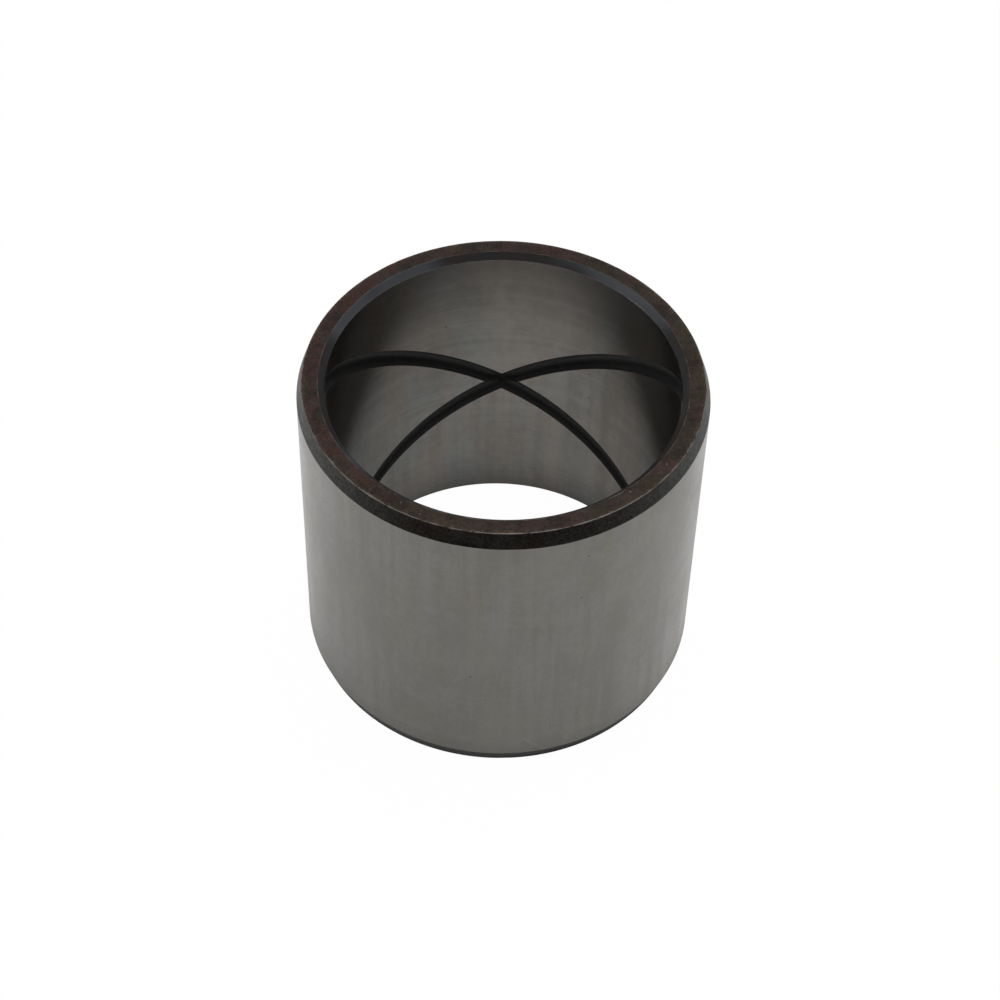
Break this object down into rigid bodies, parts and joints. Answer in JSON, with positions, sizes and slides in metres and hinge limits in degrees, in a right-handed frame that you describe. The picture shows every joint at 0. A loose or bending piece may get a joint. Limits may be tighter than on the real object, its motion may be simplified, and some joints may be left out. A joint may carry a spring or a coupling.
{
  "type": "sleeve bushing",
  "caption": "Hardened steel sleeve bushing: plain ground tube with tapered lead-ins and crossed zigzag oil grooves in its bore.",
  "frame": {"origin": "centre of the bore at the lower end face", "axes": "+Z along the bore, away from the lower end face; the grooves cross on the +Y and -Y sides and turn on the +X and -X sides"},
  "size_m": [0.11, 0.11, 0.097],
  "materials": {
    "ground_steel": "ground bore and outside, dark heat-treat scale on the ends, chamfers and grooves"
  },
  "bodies": {
    "root": {"bushing_sleeve": "ground_steel"}
  },
  "joints": []
}
